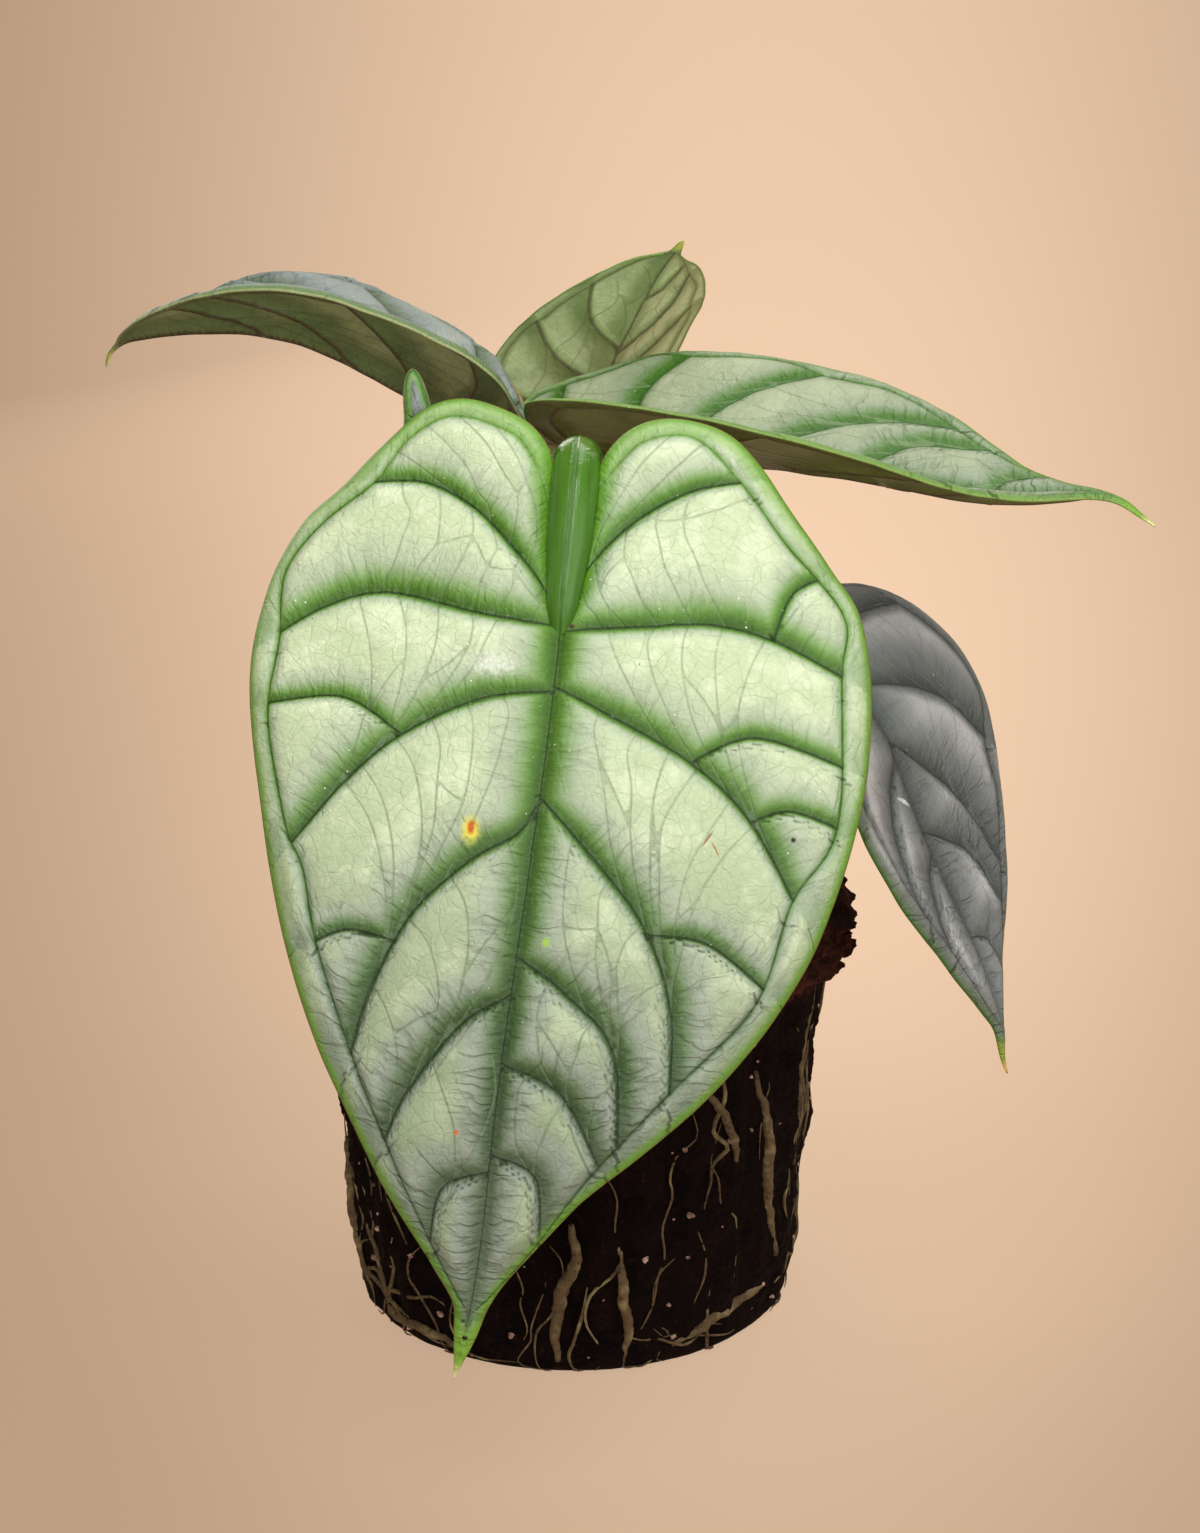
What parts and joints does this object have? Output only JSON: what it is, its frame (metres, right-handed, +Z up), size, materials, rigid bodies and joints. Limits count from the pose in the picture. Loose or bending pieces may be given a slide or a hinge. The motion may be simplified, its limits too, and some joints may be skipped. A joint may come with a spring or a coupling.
{
  "type": "silver dragon alocasia on its bare root ball",
  "caption": "Alocasia plant with quilted, heart-shaped silver-green leaves and dark green veins, on curved stalks from a bare root ball that keeps the shape of its nursery pot.",
  "frame": {"origin": "middle of the flat underside of the root ball, on the surface that it stands on", "axes": "+Z up, -Y towards the viewer, where the largest leaf hangs over the front of the root ball, +X to the viewer's right"},
  "size_m": [0.2078, 0.1817, 0.2157],
  "materials": {
    "soil": "matt, crumbly",
    "root": "matt, fibrous",
    "stem_base": "satin, fleshy",
    "stalk": "satin, fleshy",
    "leaf_silver_green": "satin, leathery",
    "leaf_blue_grey": "satin, leathery",
    "leaf_mid_green": "satin, leathery",
    "leaf_pale_green": "satin, leathery",
    "leaf_dark_grey": "satin, leathery"
  },
  "bodies": {
    "root": {"root_ball": "soil", "root_1": "root", "root_2": "root", "root_3": "root", "root_4": "root", "root_5": "root", "root_6": "root", "root_7": "root", "root_8": "root", "root_9": "root", "root_10": "root", "root_11": "root", "root_12": "root", "stem_base": "stem_base", "stalk_front": "stalk", "blade_front": "leaf_silver_green", "stalk_left_upper": "stalk", "blade_left_upper": "leaf_blue_grey", "stalk_back": "stalk", "blade_back": "leaf_mid_green", "stalk_right_upper": "stalk", "blade_right_upper": "leaf_pale_green", "stalk_right_lower": "stalk", "blade_right_lower": "leaf_dark_grey", "stalk_left_inner": "stalk", "blade_left_inner": "leaf_blue_grey"}
  },
  "joints": []
}
